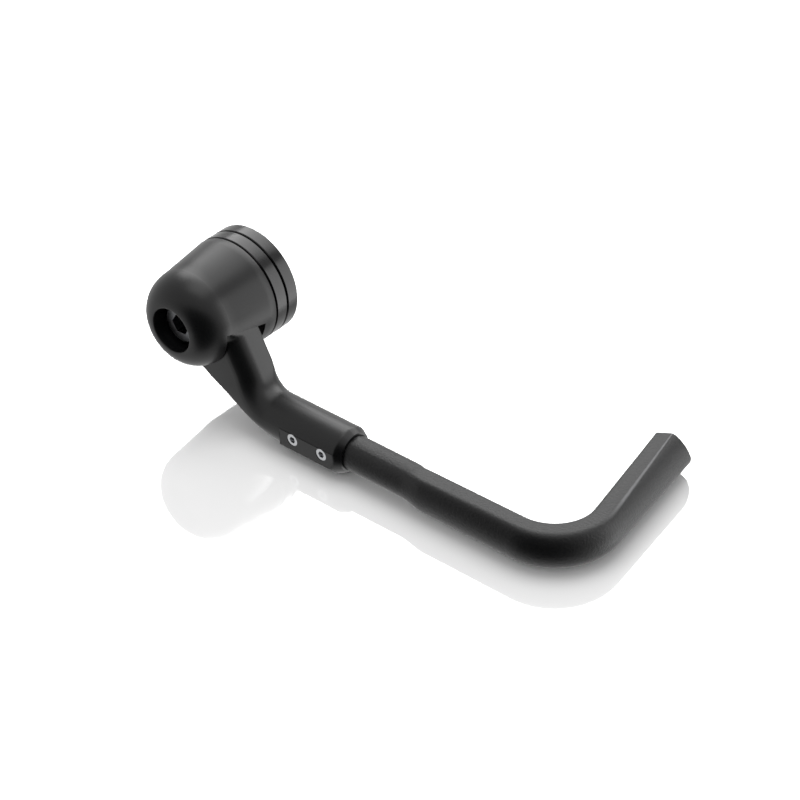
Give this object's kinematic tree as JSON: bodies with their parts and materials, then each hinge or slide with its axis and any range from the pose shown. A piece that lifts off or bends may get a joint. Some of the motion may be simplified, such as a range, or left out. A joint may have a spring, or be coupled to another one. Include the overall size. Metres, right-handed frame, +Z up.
{
  "type": "brake lever guard",
  "caption": "Bar-end brake lever guard: a bell-shaped black head, a bent clamp arm with set screws and a moulded black blade that curves round the lever.",
  "frame": {"origin": "centre of the end ring's bar-side face, on the axis of the fixing bolt", "axes": "+Y along the bolt's axis into the handlebar, +X forward along the blade, +Z up"},
  "size_m": [0.1639, 0.0783, 0.0518],
  "materials": {
    "anodised_black": "satin black anodised, fine turned grain on the head",
    "blade_plastic": "matt moulded, fine grain",
    "bolt_steel": "dark zinc, satin",
    "screw_steel": "bright plated"
  },
  "bodies": {
    "root": {"nose_cap": "anodised_black", "spacer_ring": "anodised_black", "end_ring": "anodised_black", "centre_bolt": "bolt_steel", "bolt_washer": "bolt_steel", "arm": "anodised_black", "rear_clamp_screw": "screw_steel", "front_clamp_screw": "screw_steel", "blade": "blade_plastic"}
  },
  "joints": []
}
